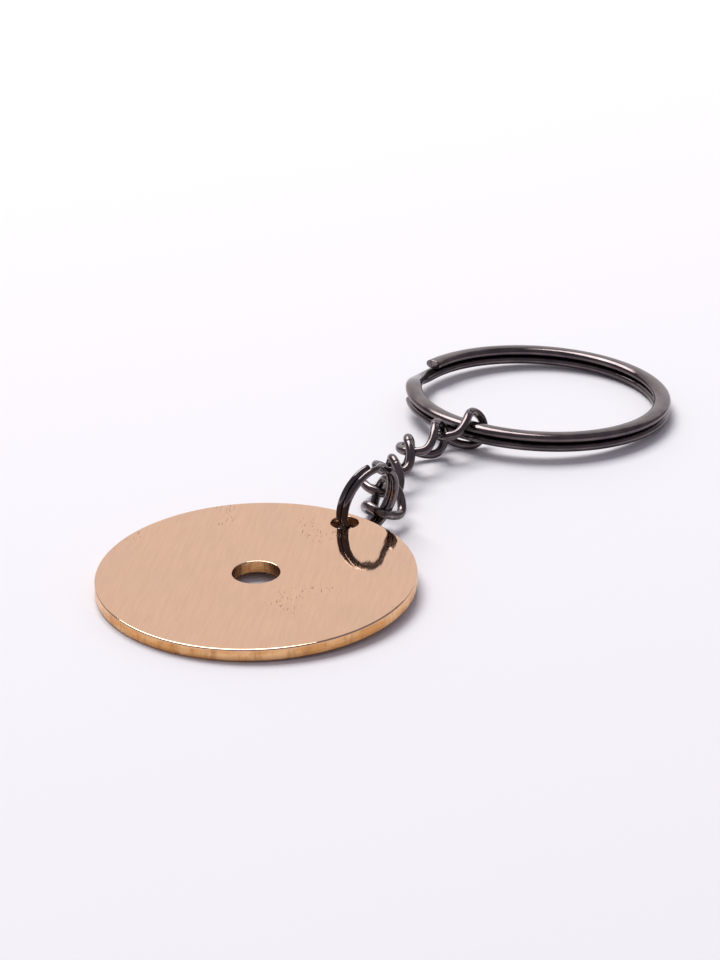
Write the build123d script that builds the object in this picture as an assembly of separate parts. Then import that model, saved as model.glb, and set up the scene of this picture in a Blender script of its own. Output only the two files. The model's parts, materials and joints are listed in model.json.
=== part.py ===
from build123d import *
import math
import os

# A drilled token disc on a key chain, lying on a flat surface at z = 0.
# Lengths are millimetres and angles are degrees. +X runs from the token to the key ring, +Z is up,
# and the origin is on the surface, under the middle of the whole object.

# The token: one flat disc with a centre hole and a chain hole.
DISC_DIAMETER = 32.0
DISC_THICKNESS = 1.3
DISC_BEVEL = 0.12
CENTRE_HOLE_DIAMETER = 4.8
CHAIN_HOLE_DIAMETER = 2.9
CHAIN_HOLE_OFFSET = 13.9
CHAIN_HOLE_ANGLE = -5.2
HOLE_BEVEL = 0.1
DISC_TILT = 2.1
DISC_CENTRE_X = -27.81

# The connector ring: a small split ring of two round coils, through the chain hole.
CONNECTOR_DIAMETER = 8.3
CONNECTOR_WIRE = 0.7
CONNECTOR_COIL_PITCH = 0.73
CONNECTOR_CENTRE = (-11.39, -2.34, 4.18)
CONNECTOR_YAW = -9.1
CONNECTOR_LEAN = 9.6
CONNECTOR_JOG = (55.0, 90.0)

# The curb chain: each link is one bent round wire, twisted about its length and butted shut.
LINK_WIRE = 0.96
LINK_PITCH = 5.38
LINK_WIDTH = 4.8
LINK_TWIST = -88.0
LINK_TWIST_REACH = 2.6
LINK_CLEARANCE = 0.1
LINK_SEAM_GAP = 0.05
LINK_SEAM_SHIFT = 0.9
CHAIN_START = (-8.88, -2.87, 2.05)
LINK_YAWS = (39.7, 23.3, 8.8, -9.2, -20.7)
LINK_CLIMBS = (1.4, 0.8, 2.8, 0.3, -2.1)
LINK_ROLLS = (155.3, 148.3, 137.6, 129.8, 119.3)

# The key ring: a split ring of two flattened coils.
KEY_RING_DIAMETER = 30.4
KEY_RING_WIRE_WIDTH = 1.9
KEY_RING_WIRE_HEIGHT = 1.03
KEY_RING_WIRE_ROUNDING = 0.4
KEY_RING_COIL_PITCH = 1.07
KEY_RING_JOG = (93.0, 125.0)
KEY_RING_CENTRE_X = 28.6
KEY_RING_CENTRE_Y = 0.79
KEY_RING_SLOPE = (-0.04, 0.02)

# A free end of a split ring stands this far from the strand that changes level beside it.
FREE_END_GAP = 3.0
JOG_STEPS = 6
LINK_STEPS = 40


def direction(yaw, climb):
    """Unit vector at a yaw about Z from +X, climbing from the horizontal."""
    level = math.cos(math.radians(climb))
    return Vector(
        level * math.cos(math.radians(yaw)),
        level * math.sin(math.radians(yaw)),
        math.sin(math.radians(climb)),
    )


def disc_plane():
    """The plane of the disc's underside, with its origin on the disc's axis."""
    rise = DISC_DIAMETER / 2 * math.sin(math.radians(DISC_TILT))
    tilt = math.radians(DISC_TILT)
    return Plane(
        origin=(DISC_CENTRE_X, 0, rise),
        x_dir=(math.cos(tilt), 0, math.sin(tilt)),
        z_dir=(-math.sin(tilt), 0, math.cos(tilt)),
    )


def token_disc():
    """A flat disc with two drilled holes and lightly broken edges."""
    disc = extrude(Circle(DISC_DIAMETER / 2), DISC_THICKNESS)
    disc = chamfer(disc.edges(), DISC_BEVEL)
    angle = math.radians(CHAIN_HOLE_ANGLE)
    holes = (
        (0, 0, CENTRE_HOLE_DIAMETER / 2),
        (CHAIN_HOLE_OFFSET * math.cos(angle), CHAIN_HOLE_OFFSET * math.sin(angle), CHAIN_HOLE_DIAMETER / 2),
    )
    for x, y, radius in holes:
        drill = Pos(x, y, 0) * extrude(Circle(radius), DISC_THICKNESS)
        lower = Pos(x, y, 0) * Cone(
            radius + HOLE_BEVEL, radius, HOLE_BEVEL, align=(Align.CENTER, Align.CENTER, Align.MIN)
        )
        upper = Pos(x, y, DISC_THICKNESS) * Cone(
            radius, radius + HOLE_BEVEL, HOLE_BEVEL, align=(Align.CENTER, Align.CENTER, Align.MAX)
        )
        disc = disc - drill - lower - upper
    return disc_plane() * disc


def coil_section(section, radius, angle, height):
    """A wire section standing upright at an angle round a ring's axis."""
    turn = math.radians(angle)
    place = Plane(
        origin=(radius * math.cos(turn), radius * math.sin(turn), height),
        x_dir=(math.cos(turn), math.sin(turn), 0),
        z_dir=(math.sin(turn), -math.cos(turn), 0),
    )
    return place * section


def split_ring(section, radius, coil_pitch, jog):
    """Two turns of one wire about Z, which climbs from the lower to the upper coil between two angles."""
    jog_start, jog_end = jog
    sweep_angle = 360 - (jog_end - jog_start) - FREE_END_GAP
    low = -coil_pitch / 2
    high = coil_pitch / 2
    lower_coil = revolve(
        coil_section(section, radius, jog_end + FREE_END_GAP, low), Axis.Z, sweep_angle
    )
    upper_coil = revolve(coil_section(section, radius, jog_end, high), Axis.Z, sweep_angle)
    climb = []
    for step in range(JOG_STEPS + 1):
        share = step / JOG_STEPS
        eased = (1 - math.cos(math.pi * share)) / 2
        angle = jog_start + share * (jog_end - jog_start)
        climb.append(coil_section(section, radius, angle, low + eased * coil_pitch))
    return lower_coil + loft(climb) + upper_coil


def connector_plane():
    """The connector ring's own plane: its X is level, and its Y leans away from the left as it rises."""
    lean = math.radians(CONNECTOR_LEAN)
    level = direction(CONNECTOR_YAW, 0)
    left = direction(CONNECTOR_YAW + 90, 0)
    rising = Vector(0, 0, math.cos(lean)) - left * math.sin(lean)
    return Plane(origin=CONNECTOR_CENTRE, x_dir=level, z_dir=level.cross(rising))


def connector_ring():
    radius = (CONNECTOR_DIAMETER - CONNECTOR_WIRE) / 2
    ring = split_ring(Circle(CONNECTOR_WIRE / 2), radius, CONNECTOR_COIL_PITCH, CONNECTOR_JOG)
    return connector_plane() * ring


def chain_joints():
    """The points where each link meets its neighbours, from the connector ring to the key ring."""
    points = [Vector(*CHAIN_START)]
    for yaw, climb in zip(LINK_YAWS, LINK_CLIMBS):
        points.append(points[-1] + direction(yaw, climb) * LINK_PITCH)
    return points


def link_plane(index):
    """A link's own plane: X runs along it, Y is level and Z is up at its middle."""
    points = chain_joints()
    along = direction(LINK_YAWS[index], LINK_CLIMBS[index])
    middle = (points[index] + points[index + 1]) * 0.5
    return Plane(origin=middle, x_dir=along, z_dir=along.cross(Vector(0, 0, 1).cross(along)))


def link_outline(distance, half_straight, radius):
    """A point on an untwisted link's centreline, at a distance from the middle of its first strand."""
    bend = math.pi * radius
    if distance < half_straight:
        return distance, radius
    if distance < half_straight + bend:
        turn = (distance - half_straight) / radius
        return half_straight + radius * math.sin(turn), radius * math.cos(turn)
    if distance < 3 * half_straight + bend:
        return 2 * half_straight - (distance - bend), -radius
    if distance < 3 * half_straight + 2 * bend:
        turn = (distance - 3 * half_straight - bend) / radius
        return -half_straight - radius * math.sin(turn), -radius * math.cos(turn)
    return distance - 4 * half_straight - 2 * bend, radius


def link_twist(x):
    """A link's twist in degrees at a place along it: all of it is in the middle, and the ends are flat."""
    reached = min(1.0, max(-1.0, x / LINK_TWIST_REACH))
    return LINK_TWIST / 2 * math.sin(math.pi / 2 * reached)


def chain_link(index):
    """A twisted oval of round wire, with a butt seam in one strand."""
    radius = (LINK_WIDTH - LINK_WIRE) / 2
    centre_length = LINK_PITCH + LINK_WIRE + LINK_CLEARANCE
    half_straight = centre_length / 2 - radius
    around = 4 * half_straight + 2 * math.pi * radius
    points = []
    for step in range(LINK_STEPS + 1):
        distance = LINK_SEAM_SHIFT + LINK_SEAM_GAP / 2 + (around - LINK_SEAM_GAP) * step / LINK_STEPS
        x, across = link_outline(distance, half_straight, radius)
        angle = math.radians(LINK_ROLLS[index] + link_twist(x))
        points.append((x, across * math.cos(angle), across * math.sin(angle)))
    path = Spline(*points)
    start = Plane(origin=path @ 0, z_dir=path % 0)
    return link_plane(index) * sweep(start * Circle(LINK_WIRE / 2), path)


def key_ring_plane():
    """The key ring's own plane, tilted so that the ring rests on one low point of its rim."""
    slope_x, slope_y = KEY_RING_SLOPE
    half_height = (KEY_RING_COIL_PITCH + KEY_RING_WIRE_HEIGHT) / 2
    rise = half_height + KEY_RING_DIAMETER / 2 * math.hypot(slope_x, slope_y)
    return Plane(
        origin=(KEY_RING_CENTRE_X, KEY_RING_CENTRE_Y, rise),
        x_dir=(1, 0, slope_x),
        z_dir=(-slope_x, -slope_y, 1),
    )


def key_ring():
    section = RectangleRounded(KEY_RING_WIRE_WIDTH, KEY_RING_WIRE_HEIGHT, KEY_RING_WIRE_ROUNDING)
    radius = (KEY_RING_DIAMETER - KEY_RING_WIRE_WIDTH) / 2
    return key_ring_plane() * split_ring(section, radius, KEY_RING_COIL_PITCH, KEY_RING_JOG)


def write_parts():
    os.makedirs("parts", exist_ok=True)
    nodes = {"token_disc": token_disc(), "connector_ring": connector_ring()}
    for index in range(len(LINK_YAWS)):
        nodes[f"chain_link_{index + 1}"] = chain_link(index)
    nodes["key_ring"] = key_ring()
    for name, shape in nodes.items():
        export_step(shape, f"parts/{name}.step")


write_parts()
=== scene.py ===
import json
import math

import bmesh
import bpy
from mathutils import Matrix, Vector


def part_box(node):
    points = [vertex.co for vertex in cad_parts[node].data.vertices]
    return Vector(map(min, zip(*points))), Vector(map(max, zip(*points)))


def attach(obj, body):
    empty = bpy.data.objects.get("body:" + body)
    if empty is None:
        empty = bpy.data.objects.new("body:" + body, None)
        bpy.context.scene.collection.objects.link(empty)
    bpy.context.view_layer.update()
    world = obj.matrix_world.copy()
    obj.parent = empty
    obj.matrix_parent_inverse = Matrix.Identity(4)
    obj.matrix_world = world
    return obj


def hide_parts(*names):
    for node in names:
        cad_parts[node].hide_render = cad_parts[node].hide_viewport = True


# A drilled bronze token on a gunmetal key chain, lying on a pale table.
# Shapes are worked out in millimetres in the CAD frame and written to meshes in metres.

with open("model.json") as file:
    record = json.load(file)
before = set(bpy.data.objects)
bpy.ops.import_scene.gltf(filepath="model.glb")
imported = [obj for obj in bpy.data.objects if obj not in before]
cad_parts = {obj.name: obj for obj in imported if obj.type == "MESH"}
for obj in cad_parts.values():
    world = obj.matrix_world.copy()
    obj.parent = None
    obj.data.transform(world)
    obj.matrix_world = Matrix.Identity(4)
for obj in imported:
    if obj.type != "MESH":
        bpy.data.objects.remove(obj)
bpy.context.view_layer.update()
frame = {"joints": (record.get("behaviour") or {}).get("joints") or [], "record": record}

MM = 0.001

# The token disc. Its place comes from the record's centre_hole mount.
CHAIN_HOLE_RADIUS = 1.45
CHAIN_HOLE_OFFSET = 13.9
CHAIN_HOLE_ANGLE = -5.2
DISC_THICKNESS = 1.3
DISC_BEVEL = 0.15
HOLE_BEVEL = 0.1
ROLL_OVER_WIDTH = 0.5
ROLL_OVER_DROP = 0.012
BRUSH_ANGLE = 22.0

# The connector ring.
CONNECTOR_DIAMETER = 8.3
CONNECTOR_WIRE = 0.7
CONNECTOR_COIL_PITCH = 0.73
CONNECTOR_CENTRE = (-11.39, -2.34, 4.18)
CONNECTOR_YAW = -9.1
CONNECTOR_LEAN = 9.6
CONNECTOR_JOG = (55.0, 90.0)

# The curb chain.
LINK_WIRE = 0.96
LINK_PITCH = 5.38
LINK_WIDTH = 4.8
LINK_TWIST = -88.0
LINK_TWIST_REACH = 2.6
LINK_CLEARANCE = 0.1
LINK_SEAM_GAP = 0.05
LINK_SEAM_SHIFT = 0.9
CHAIN_START = (-8.88, -2.87, 2.05)
LINK_YAWS = (39.7, 23.3, 8.8, -9.2, -20.7)
LINK_CLIMBS = (1.4, 0.8, 2.8, 0.3, -2.1)
LINK_ROLLS = (155.3, 148.3, 137.6, 129.8, 119.3)

# The key ring.
KEY_RING_DIAMETER = 30.4
KEY_RING_WIRE_WIDTH = 1.9
KEY_RING_WIRE_HEIGHT = 1.03
KEY_RING_WIRE_FULLNESS = 2.35
KEY_RING_COIL_PITCH = 1.07
KEY_RING_JOG = (93.0, 125.0)
KEY_RING_CENTRE_X = 28.6
KEY_RING_CENTRE_Y = 0.79
KEY_RING_SLOPE = (-0.04, 0.02)

FREE_END_GAP = 3.0
END_ROUNDING = 0.1

# Wear on the plating: how far from a meeting of wires it reaches, and how much of it a wire's end has.
WEAR_REACH = 2.2
END_WEAR = 0.6

# Colours, as linear red, green, blue and alpha.
FACE_PINK = (0.715, 0.462, 0.318, 1)
FACE_WARM = (0.745, 0.478, 0.312, 1)
FACE_STROKE = (0.64, 0.405, 0.27, 1)
FACE_NICK = (0.42, 0.25, 0.16, 1)
RIM_COLOURS = ((0.72, 0.36, 0.13, 1), (0.88, 0.54, 0.27, 1), (0.48, 0.23, 0.09, 1))
# The hole walls are the rim's bronze painted darker, which is painted shade inside the drilled holes. The
# third colour is the drilling marks.
HOLE_COLOURS_PAINTED_SHADE = ((0.44, 0.22, 0.09, 1), (0.62, 0.35, 0.16, 1), (0.20, 0.09, 0.04, 1))
PLATING_DARK = (0.105, 0.085, 0.090, 1)
PLATING_PALE = (0.170, 0.138, 0.136, 1)
PLATING_LINE = (0.08, 0.068, 0.072, 1)
PLATING_WORN = (0.36, 0.32, 0.30, 1)
TABLE_COLOUR = (0.94, 0.93, 0.955, 1)
ROOM_COLOUR = (0.90, 0.85, 1.0, 1)

# The room's brightness, the table's half width and the camera, in metres and degrees.
ROOM_STRENGTH = 0.3
TABLE_REACH = 3.0
CAMERA_PLACE = (-0.228735, -0.146497, 0.11980)
CAMERA_TILT = 66.511
CAMERA_TURN = -56.272
CAMERA_LENS = 104.0

# Mesh fineness.
DISC_STEPS = 360
HOLE_STEPS = 96
FILLET_STEPS = 5
LINK_STEPS = 220
WIRE_STEPS = 32


def node(tree, kind, sockets=None, **settings):
    """A shader node with its settings, and each named socket set to a value or linked from an output."""
    made = tree.nodes.new(kind)
    for name, value in settings.items():
        setattr(made, name, value)
    for name, value in (sockets or {}).items():
        if isinstance(value, bpy.types.NodeSocket):
            tree.links.new(value, made.inputs[name])
        else:
            made.inputs[name].default_value = value
    return made


def math_node(tree, operation, first, second):
    return node(tree, "ShaderNodeMath", {0: first, 1: second}, operation=operation).outputs[0]


def ramp(tree, factor, low, high, from_value=0.0, to_value=1.0):
    """A number that goes from from_value to to_value as factor goes from low to high."""
    return node(
        tree,
        "ShaderNodeMapRange",
        {"Value": factor, "From Min": low, "From Max": high, "To Min": from_value, "To Max": to_value},
    ).outputs["Result"]


def mix_colours(tree, factor, first, second):
    made = node(tree, "ShaderNodeMix", {"Factor": factor}, data_type="RGBA")
    for socket, value in ((made.inputs[6], first), (made.inputs[7], second)):
        if isinstance(value, bpy.types.NodeSocket):
            tree.links.new(value, socket)
        else:
            socket.default_value = value
    return made.outputs[2]


def noise(tree, position, scale, detail=2.0, roughness=0.5):
    return node(
        tree,
        "ShaderNodeTexNoise",
        {"Vector": position, "Scale": scale, "Detail": detail, "Roughness": roughness},
    ).outputs["Fac"]


def stretched(tree, position, scale, turn=0.0, offset=(0.0, 0.0, 0.0)):
    """Positions turned about Z by an angle in degrees and then scaled on each axis."""
    turned = node(
        tree, "ShaderNodeMapping", {"Vector": position, "Rotation": (0, 0, -math.radians(turn))}
    ).outputs[0]
    return node(
        tree, "ShaderNodeMapping", {"Vector": turned, "Scale": scale, "Location": offset}
    ).outputs[0]


def bump(tree, height, depth, normal=None):
    """A bump whose height 1 is depth metres."""
    sockets = {"Height": height, "Distance": depth, "Strength": 1.0}
    if normal is not None:
        sockets["Normal"] = normal
    return node(tree, "ShaderNodeBump", sockets).outputs[0]


def metal(colour, roughness, normal):
    """Finishes a metal material from a colour, a roughness and a normal."""
    tree = colour.id_data
    sockets = {"Base Color": colour, "Metallic": 1.0, "Roughness": roughness, "Normal": normal}
    shader = node(tree, "ShaderNodeBsdfPrincipled", sockets)
    node(tree, "ShaderNodeOutputMaterial", {"Surface": shader.outputs[0]})


def new_material(name):
    made = bpy.data.materials.new(name)
    made.use_nodes = True
    made.node_tree.nodes.clear()
    return made, made.node_tree


def bronze_face():
    """Pinkish bronze, flatted and finely brushed one way, with small nicks."""
    made, tree = new_material("bronze_face")
    place = node(tree, "ShaderNodeTexCoord").outputs["Object"]
    hairlines = noise(tree, stretched(tree, place, (420, 6000, 1), BRUSH_ANGLE), 1.0, 3.0, 0.6)
    strokes = noise(tree, stretched(tree, place, (260, 2300, 1), BRUSH_ANGLE + 4), 1.0, 3.0, 0.6)
    waves = noise(tree, stretched(tree, place, (420, 1300, 1), BRUSH_ANGLE), 1.0, 1.0)
    cloud = noise(tree, place, 160.0, 3.0)
    nick_shape = noise(tree, stretched(tree, place, (1300, 6500, 1), BRUSH_ANGLE + 8), 1.0, 0.0)
    nick_area = ramp(tree, noise(tree, place, 150.0, 1.0), 0.64, 0.69)
    nicks = math_node(tree, "MULTIPLY", ramp(tree, nick_shape, 0.66, 0.71), nick_area)
    tint = mix_colours(tree, ramp(tree, cloud, 0.35, 0.65), FACE_PINK, FACE_WARM)
    streaked = mix_colours(tree, ramp(tree, strokes, 0.35, 0.7, 0.0, 0.6), tint, FACE_STROKE)
    colour = mix_colours(tree, nicks, streaked, FACE_NICK)
    roughness = ramp(tree, strokes, 0.3, 0.7, 0.04, 0.08)
    normal = bump(tree, waves, 9e-6)
    normal = bump(tree, strokes, 1.2e-6, normal)
    normal = bump(tree, hairlines, 0.35e-6, normal)
    normal = bump(tree, math_node(tree, "SUBTRACT", 1.0, nicks), 4e-6, normal)
    metal(colour, roughness, normal)
    return made


def bronze_wall(name, streak_scale, smear_scale, depth, colours):
    """Bronze on a sheared or drilled wall, where streaks run across the thickness."""
    made, tree = new_material(name)
    deep, pale, mark = colours
    place = node(tree, "ShaderNodeAttribute", attribute_name="wall_position").outputs["Vector"]
    streaks = noise(tree, stretched(tree, place, (streak_scale, 260, 1)), 1.0, 3.0, 0.6)
    smear = noise(tree, stretched(tree, place, (smear_scale, 3800, 1)), 1.0, 2.0)
    cloud = noise(tree, stretched(tree, place, (300, 700, 1)), 1.0, 3.0)
    tint = mix_colours(tree, ramp(tree, cloud, 0.4, 0.6), deep, pale)
    colour = mix_colours(tree, ramp(tree, streaks, 0.5, 0.68, 0.0, 0.75), tint, mark)
    roughness = ramp(tree, smear, 0.3, 0.7, 0.2, 0.36)
    normal = bump(tree, streaks, depth)
    normal = bump(tree, smear, depth * 0.4, normal)
    metal(colour, roughness, normal)
    return made


def gunmetal(name, seed, roughness_low, roughness_high, pitting):
    """Dark nickel plating over drawn wire: lines along the wire, fine pits and paler worn places."""
    made, tree = new_material(name)
    place = node(tree, "ShaderNodeAttribute", attribute_name="wire_position").outputs["Vector"]
    wear = node(tree, "ShaderNodeAttribute", attribute_name="wear").outputs["Fac"]
    offset = (seed * 3.7, seed * 1.3, seed * 2.1)
    drawn = noise(tree, stretched(tree, place, (160, 6500, 6500), offset=offset), 1.0, 3.0, 0.6)
    cloud = noise(tree, stretched(tree, place, (420, 900, 900), offset=offset), 1.0, 3.0)
    pits = noise(tree, stretched(tree, place, (4200, 4200, 4200), offset=offset), 1.0, 2.0)
    rubs = noise(tree, stretched(tree, place, (1500, 2600, 2600), offset=offset), 1.0, 3.0, 0.7)
    tint = mix_colours(tree, ramp(tree, cloud, 0.35, 0.65), PLATING_DARK, PLATING_PALE)
    lined = mix_colours(tree, ramp(tree, drawn, 0.5, 0.75, 0.0, 0.35), tint, PLATING_LINE)
    worn = math_node(tree, "MULTIPLY", wear, ramp(tree, rubs, 0.45, 0.62))
    colour = mix_colours(tree, worn, lined, PLATING_WORN)
    roughness = ramp(tree, cloud, 0.3, 0.7, roughness_low, roughness_high)
    normal = bump(tree, drawn, 0.9e-6)
    normal = bump(tree, pits, pitting, normal)
    normal = bump(tree, cloud, 4e-6, normal)
    metal(colour, roughness, normal)
    return made


def finish_mesh(name, builder, materials, body, replaced):
    """Makes an object of a bmesh in metres, which stands for a CAD node and rides on its body."""
    mesh = bpy.data.meshes.new(name)
    builder.to_mesh(mesh)
    builder.free()
    piece = bpy.data.objects.new(name, mesh)
    bpy.context.scene.collection.objects.link(piece)
    for material in materials:
        mesh.materials.append(material)
    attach(piece, body)
    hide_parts(replaced)
    return piece


def bridge(builder, first, second, material=0):
    """Quads between two rings of the same number of vertices."""
    count = len(first)
    for index in range(count):
        following = (index + 1) % count
        face = builder.faces.new((first[index], first[following], second[following], second[index]))
        face.material_index = material
        face.smooth = True


def rim_profile(radius):
    """The disc's outer edge from its top face to its underside, as (radius, height, on the wall)."""
    points = []
    top_radius = radius - DISC_BEVEL
    for step in range(FILLET_STEPS + 1):
        share = step / FILLET_STEPS
        drop = ROLL_OVER_DROP * share * share
        points.append((top_radius - ROLL_OVER_WIDTH * (1 - share), DISC_THICKNESS - drop, False))
    round_height = DISC_BEVEL - ROLL_OVER_DROP
    for step in range(1, FILLET_STEPS + 1):
        turn = math.pi / 2 * step / FILLET_STEPS
        points.append((
            top_radius + DISC_BEVEL * math.sin(turn),
            DISC_THICKNESS - DISC_BEVEL + round_height * math.cos(turn),
            False,
        ))
    wall_height = DISC_THICKNESS - 2 * DISC_BEVEL
    for share in (0.03, 0.5, 0.97):
        points.append((radius, DISC_THICKNESS - DISC_BEVEL - wall_height * share, True))
    for step in range(FILLET_STEPS + 1):
        turn = math.pi / 2 * step / FILLET_STEPS
        points.append((
            top_radius + DISC_BEVEL * math.cos(turn), DISC_BEVEL * (1 - math.sin(turn)), True
        ))
    return points


def hole_profile(radius):
    """A drilled hole's edge from the top face to the underside, as (radius, height, on the wall)."""
    points = []
    for step in range(FILLET_STEPS + 1):
        turn = math.pi / 2 * step / FILLET_STEPS
        points.append((
            radius + HOLE_BEVEL * (1 - math.sin(turn)),
            DISC_THICKNESS - HOLE_BEVEL * (1 - math.cos(turn)),
            False,
        ))
    wall_height = DISC_THICKNESS - 2 * HOLE_BEVEL
    for share in (0.04, 0.5, 0.96):
        points.append((radius, DISC_THICKNESS - HOLE_BEVEL - wall_height * share, True))
    for step in range(FILLET_STEPS + 1):
        turn = math.pi / 2 * step / FILLET_STEPS
        points.append((radius + HOLE_BEVEL * (1 - math.cos(turn)), HOLE_BEVEL * (1 - math.sin(turn)), True))
    return points


def edge_band(builder, layer, profile, centre, steps, wall_material):
    """Rings of vertices down a round edge. Returns the first and last ring."""
    rings = []
    for radius, height, _ in profile:
        ring = []
        for step in range(steps):
            turn = 2 * math.pi * step / steps
            x = centre[0] + radius * math.cos(turn)
            y = centre[1] + radius * math.sin(turn)
            vertex = builder.verts.new((x * MM, y * MM, height * MM))
            vertex[layer] = (radius * turn * MM, height * MM, 0)
            ring.append(vertex)
        rings.append(ring)
    for index in range(len(rings) - 1):
        material = wall_material if profile[index][2] and profile[index + 1][2] else 0
        bridge(builder, rings[index], rings[index + 1], material)
    return rings[0], rings[-1]


def fill_flat(builder, rings):
    """A flat face bounded by closed rings of vertices, the first of them outside the others."""
    edges = []
    for ring in rings:
        for index in range(len(ring)):
            edge = builder.edges.get((ring[index], ring[(index + 1) % len(ring)]))
            edge.smooth = False
            edges.append(edge)
    bmesh.ops.triangle_fill(builder, edges=edges, use_beauty=True)


def token_disc():
    """The disc with its drilled holes, rounded edges and slightly rolled-over rim."""
    low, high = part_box("token_disc")
    radius = (high[1] - low[1]) / 2 / MM
    mount = next(m for m in frame["record"]["mounts"] if m["name"] == "centre_hole")
    up = Vector(mount["axis"]).normalized()
    builder = bmesh.new()
    layer = builder.verts.layers.float_vector.new("wall_position")
    angle = math.radians(CHAIN_HOLE_ANGLE)
    chain_hole = (CHAIN_HOLE_OFFSET * math.cos(angle), CHAIN_HOLE_OFFSET * math.sin(angle))
    bands = [
        edge_band(builder, layer, rim_profile(radius), (0, 0), DISC_STEPS, 1),
        edge_band(builder, layer, hole_profile(mount["dims"]["r_mm"]), (0, 0), HOLE_STEPS, 2),
        edge_band(builder, layer, hole_profile(CHAIN_HOLE_RADIUS), chain_hole, HOLE_STEPS, 2),
    ]
    fill_flat(builder, [top for top, _ in bands])
    fill_flat(builder, [bottom for _, bottom in bands])
    bmesh.ops.recalc_face_normals(builder, faces=builder.faces)
    along = Vector((up.z, 0, -up.x))
    place = Matrix((along, up.cross(along), up)).transposed().to_4x4()
    place.translation = Vector(mount["pos_m"]) - up * DISC_THICKNESS / 2 * MM
    bmesh.ops.transform(builder, matrix=place, verts=builder.verts)
    materials = [
        bronze_face(),
        bronze_wall("bronze_rim", 1100, 160, 4e-6, RIM_COLOURS),
        # The drilled holes' walls take darker colours, which are painted shade inside the holes.
        bronze_wall("bronze_hole_painted_shade", 2600, 500, 14e-6, HOLE_COLOURS_PAINTED_SHADE),
    ]
    return finish_mesh("token", builder, materials, "token", "token_disc")


def circle_outline(radius):
    turns = [2 * math.pi * step / WIRE_STEPS for step in range(WIRE_STEPS)]
    return [(radius * math.cos(turn), radius * math.sin(turn)) for turn in turns]


def pressed_outline(width, height):
    """An oval between an ellipse and a rectangle: round wire pressed a little flat."""
    points = []
    for step in range(WIRE_STEPS):
        turn = 2 * math.pi * step / WIRE_STEPS
        across = math.copysign(abs(math.cos(turn)) ** (2 / KEY_RING_WIRE_FULLNESS), math.cos(turn))
        up = math.copysign(abs(math.sin(turn)) ** (2 / KEY_RING_WIRE_FULLNESS), math.sin(turn))
        points.append((across * width / 2, up * height / 2))
    return points


def contact_places():
    """Where wires meet and rub, in millimetres, from the joints."""
    return [Vector(joint["pos_m"]) / MM for joint in frame["joints"]]


def wear_at(place, contacts):
    nearest = min((place - contact).length for contact in contacts)
    return max(0.0, 1 - nearest / WEAR_REACH)


def end_rounding_steps():
    """A wire end's rounding, from its tip inwards, as (distance from the tip, loss of half width)."""
    steps = []
    for step in range(FILLET_STEPS + 1):
        turn = math.pi / 2 * step / FILLET_STEPS
        steps.append((END_ROUNDING * (1 - math.cos(turn)), END_ROUNDING * (1 - math.sin(turn))))
    return steps


def sweep(stations, outline, half_width):
    """A bmesh of a wire. A station is (centre, across, up); an outline point is lengths (across, up)."""
    builder = bmesh.new()
    position = builder.verts.layers.float_vector.new("wire_position")
    wear = builder.verts.layers.float.new("wear")
    contacts = contact_places()
    lengths = [0.0]
    for index in range(1, len(stations)):
        lengths.append(lengths[-1] + (stations[index][0] - stations[index - 1][0]).length)
    total = lengths[-1]
    rings = []

    def add_ring(centre, across, up, shrink, length):
        ring = []
        scale = 1 - shrink / half_width
        edge_wear = END_WEAR if shrink > 0 else 0.0
        for a, b in outline:
            place = centre + across * a * scale + up * b * scale
            vertex = builder.verts.new(place * MM)
            vertex[position] = (length * MM, a * MM, b * MM)
            vertex[wear] = max(edge_wear, wear_at(place, contacts))
            ring.append(vertex)
        rings.append(ring)

    start_along = (stations[1][0] - stations[0][0]).normalized()
    end_along = (stations[-1][0] - stations[-2][0]).normalized()
    rounding = end_rounding_steps()
    centre, across, up = stations[0]
    for inset, shrink in rounding:
        add_ring(centre + start_along * inset, across, up, shrink, inset)
    end_zone = END_ROUNDING * 1.05
    for length, (centre, across, up) in zip(lengths, stations):
        if end_zone < length < total - end_zone:
            add_ring(centre, across, up, 0.0, length)
    centre, across, up = stations[-1]
    for inset, shrink in reversed(rounding):
        add_ring(centre - end_along * inset, across, up, shrink, total - inset)
    for index in range(len(rings) - 1):
        bridge(builder, rings[index], rings[index + 1])
    for ring in (rings[0], rings[-1]):
        cap = builder.faces.new(ring)
        for edge in cap.edges:
            edge.smooth = False
    bmesh.ops.recalc_face_normals(builder, faces=builder.faces)
    return builder


def split_ring_stations(radius, coil_pitch, jog, step_angle):
    """Two turns about Z, which climb from the lower to the upper coil between two angles."""
    jog_start, jog_end = jog
    turn = 360 - (jog_end - jog_start) - FREE_END_GAP
    first = jog_end + FREE_END_GAP
    climb_start = first + turn
    climb_end = climb_start + jog_end - jog_start
    last = climb_end + turn
    count = round((last - first) / step_angle)
    stations = []
    for step in range(count + 1):
        angle = first + (last - first) * step / count
        share = min(1.0, max(0.0, (angle - climb_start) / (climb_end - climb_start)))
        height = coil_pitch * ((1 - math.cos(math.pi * share)) / 2 - 0.5)
        outward = Vector((math.cos(math.radians(angle)), math.sin(math.radians(angle)), 0))
        stations.append((outward * radius + Vector((0, 0, height)), outward, Vector((0, 0, 1))))
    return stations


def placed(stations, origin, x_axis, z_axis):
    """Stations moved from their own frame to the one with this origin and these axes."""
    z_axis = z_axis.normalized()
    x_axis = (x_axis - z_axis * x_axis.dot(z_axis)).normalized()
    turn = Matrix((x_axis, z_axis.cross(x_axis), z_axis)).transposed()
    return [(origin + turn @ centre, turn @ across, turn @ up) for centre, across, up in stations]


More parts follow.
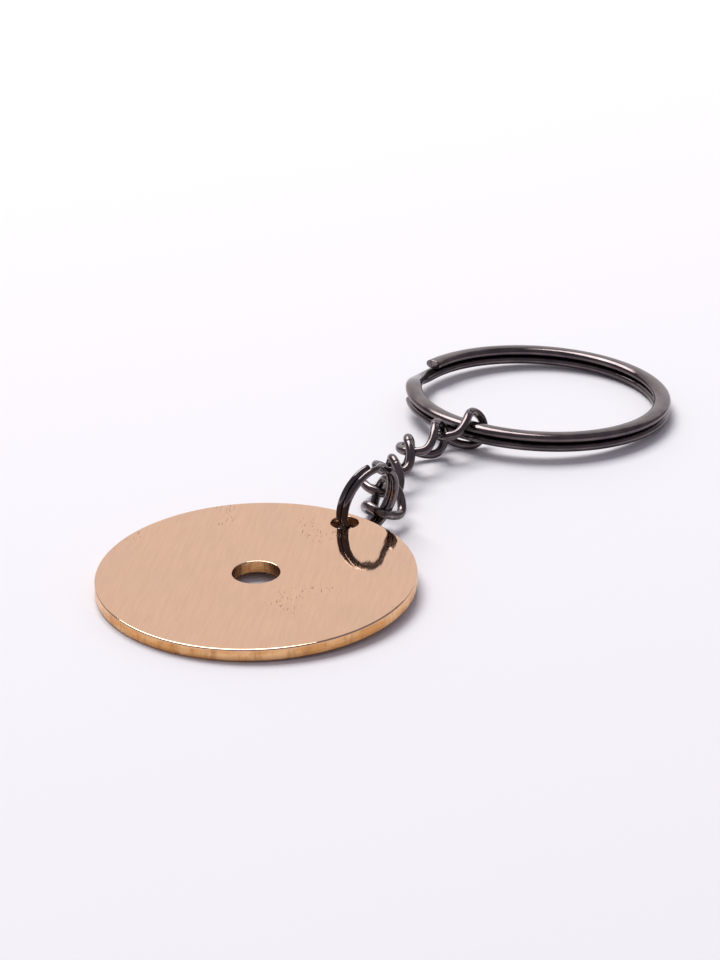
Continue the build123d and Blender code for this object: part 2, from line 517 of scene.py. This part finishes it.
def connector_ring():
    lean = math.radians(CONNECTOR_LEAN)
    level = direction(CONNECTOR_YAW, 0)
    left = direction(CONNECTOR_YAW + 90, 0)
    rising = Vector((0, 0, math.cos(lean))) - left * math.sin(lean)
    radius = (CONNECTOR_DIAMETER - CONNECTOR_WIRE) / 2
    stations = split_ring_stations(radius, CONNECTOR_COIL_PITCH, CONNECTOR_JOG, 2.5)
    stations = placed(stations, Vector(CONNECTOR_CENTRE), level, level.cross(rising))
    builder = sweep(stations, circle_outline(CONNECTOR_WIRE / 2), CONNECTOR_WIRE / 2)
    material = gunmetal("gunmetal_connector", 1, 0.07, 0.15, 2.0e-6)
    finish_mesh(
        "small_ring", builder, [material], "connector_ring", "connector_ring"
    )


def key_ring():
    slope_x, slope_y = KEY_RING_SLOPE
    half_height = (KEY_RING_COIL_PITCH + KEY_RING_WIRE_HEIGHT) / 2
    rise = half_height + KEY_RING_DIAMETER / 2 * math.hypot(slope_x, slope_y)
    origin = Vector((KEY_RING_CENTRE_X, KEY_RING_CENTRE_Y, rise))
    radius = (KEY_RING_DIAMETER - KEY_RING_WIRE_WIDTH) / 2
    stations = split_ring_stations(radius, KEY_RING_COIL_PITCH, KEY_RING_JOG, 1.2)
    stations = placed(stations, origin, Vector((1, 0, slope_x)), Vector((-slope_x, -slope_y, 1)))
    outline = pressed_outline(KEY_RING_WIRE_WIDTH, KEY_RING_WIRE_HEIGHT)
    builder = sweep(stations, outline, KEY_RING_WIRE_WIDTH / 2)
    material = gunmetal("gunmetal_key_ring", 2, 0.10, 0.2, 0.6e-6)
    finish_mesh("split_key_ring", builder, [material], "key_ring", "key_ring")


def direction(yaw, climb):
    """Unit vector at a yaw about Z from +X, climbing from the horizontal, in degrees."""
    level = math.cos(math.radians(climb))
    return Vector((
        level * math.cos(math.radians(yaw)),
        level * math.sin(math.radians(yaw)),
        math.sin(math.radians(climb)),
    ))


def link_outline(distance, half_straight, radius):
    """A point on an untwisted link's centreline, at a distance from the middle of its first strand."""
    bend = math.pi * radius
    if distance < half_straight:
        return distance, radius
    if distance < half_straight + bend:
        turn = (distance - half_straight) / radius
        return half_straight + radius * math.sin(turn), radius * math.cos(turn)
    if distance < 3 * half_straight + bend:
        return 2 * half_straight - (distance - bend), -radius
    if distance < 3 * half_straight + 2 * bend:
        turn = (distance - 3 * half_straight - bend) / radius
        return -half_straight - radius * math.sin(turn), -radius * math.cos(turn)
    return distance - 4 * half_straight - 2 * bend, radius


def carried_frames(points):
    """Stations along a curve whose section doesn't spin about the wire."""
    stations = []
    across = None
    for index, centre in enumerate(points):
        before = points[max(index - 1, 0)]
        after = points[min(index + 1, len(points) - 1)]
        along = (after - before).normalized()
        if across is None:
            across = along.orthogonal()
        across = (across - along * across.dot(along)).normalized()
        stations.append((centre, across, along.cross(across)))
    return stations


def link_twist(x):
    """A link's twist in degrees at a place along it: all of it is in the middle, and the ends are flat."""
    reached = min(1.0, max(-1.0, x / LINK_TWIST_REACH))
    return LINK_TWIST / 2 * math.sin(math.pi / 2 * reached)


def chain_link(index, start, end):
    """A twisted oval of round wire, bent shut, with its butt seam in one strand."""
    along = (end - start).normalized()
    side = Vector((0, 0, 1)).cross(along).normalized()
    up = along.cross(side)
    middle = (start + end) / 2
    radius = (LINK_WIDTH - LINK_WIRE) / 2
    centre_length = LINK_PITCH + LINK_WIRE + LINK_CLEARANCE
    half_straight = centre_length / 2 - radius
    around = 4 * half_straight + 2 * math.pi * radius
    points = []
    for step in range(LINK_STEPS + 1):
        distance = LINK_SEAM_SHIFT + LINK_SEAM_GAP / 2 + (around - LINK_SEAM_GAP) * step / LINK_STEPS
        x, across = link_outline(distance, half_straight, radius)
        angle = math.radians(LINK_ROLLS[index] + link_twist(x))
        points.append(middle + along * x + side * across * math.cos(angle) + up * across * math.sin(angle))
    builder = sweep(carried_frames(points), circle_outline(LINK_WIRE / 2), LINK_WIRE / 2)
    name = f"chain_link_{index + 1}"
    material = gunmetal(f"gunmetal_link_{index + 1}", 3 + index, 0.07, 0.16, 1.2e-6)
    finish_mesh(f"curb_link_{index + 1}", builder, [material], name, name)


def chain():
    start = Vector(CHAIN_START)
    for index, (yaw, climb) in enumerate(zip(LINK_YAWS, LINK_CLIMBS)):
        end = start + direction(yaw, climb) * LINK_PITCH
        chain_link(index, start, end)
        start = end


def softbox(name, place, target, width, depth, radiance, colour):
    """A rectangular light of a given brightness, facing a point."""
    data = bpy.data.lights.new(name, "AREA")
    data.shape = "RECTANGLE"
    data.size = width
    data.size_y = depth
    data.energy = radiance * math.pi * width * depth
    data.color = colour
    light = bpy.data.objects.new(name, data)
    light.location = place
    light.rotation_euler = (Vector(target) - Vector(place)).to_track_quat("-Z", "Y").to_euler()
    bpy.context.scene.collection.objects.link(light)


def table_top():
    """The pale table, far larger than the view."""
    builder = bmesh.new()
    bmesh.ops.create_grid(builder, x_segments=8, y_segments=8, size=TABLE_REACH)
    mesh = bpy.data.meshes.new("table_top")
    builder.to_mesh(mesh)
    builder.free()
    made, tree = new_material("white_table")
    shader = node(
        tree,
        "ShaderNodeBsdfPrincipled",
        {"Base Color": TABLE_COLOUR, "Roughness": 0.75, "Specular IOR Level": 0.2},
    )
    node(tree, "ShaderNodeOutputMaterial", {"Surface": shader.outputs[0]})
    mesh.materials.append(made)
    table = bpy.data.objects.new("table_top", mesh)
    bpy.context.scene.collection.objects.link(table)


def studio():
    """A pale wall beyond the object, a high window to its left and a dark room behind the camera."""
    world = bpy.data.worlds.new("studio")
    world.use_nodes = True
    world.node_tree.nodes["Background"].inputs["Color"].default_value = ROOM_COLOUR
    world.node_tree.nodes["Background"].inputs["Strength"].default_value = ROOM_STRENGTH
    bpy.context.scene.world = world
    target = (0, 0, 0)
    softbox("far_wall", (1.15, 0.75, 0.55), target, 2.6, 1.1, 0.71, (1, 0.975, 0.945))
    softbox("window", (0.42, 0.72, 1.32), target, 1.0, 0.9, 7.5, (1, 0.99, 0.985))


def camera():
    data = bpy.data.cameras.new("camera")
    data.lens = CAMERA_LENS
    data.sensor_width = 36.0
    data.clip_start = 0.01
    data.clip_end = 20.0
    made = bpy.data.objects.new("camera", data)
    made.location = CAMERA_PLACE
    made.rotation_euler = (math.radians(CAMERA_TILT), 0, math.radians(CAMERA_TURN))
    bpy.context.scene.collection.objects.link(made)
    bpy.context.scene.camera = made


token_disc()
connector_ring()
chain()
key_ring()
table_top()
studio()
camera()
bpy.context.scene.view_settings.view_transform = "Standard"
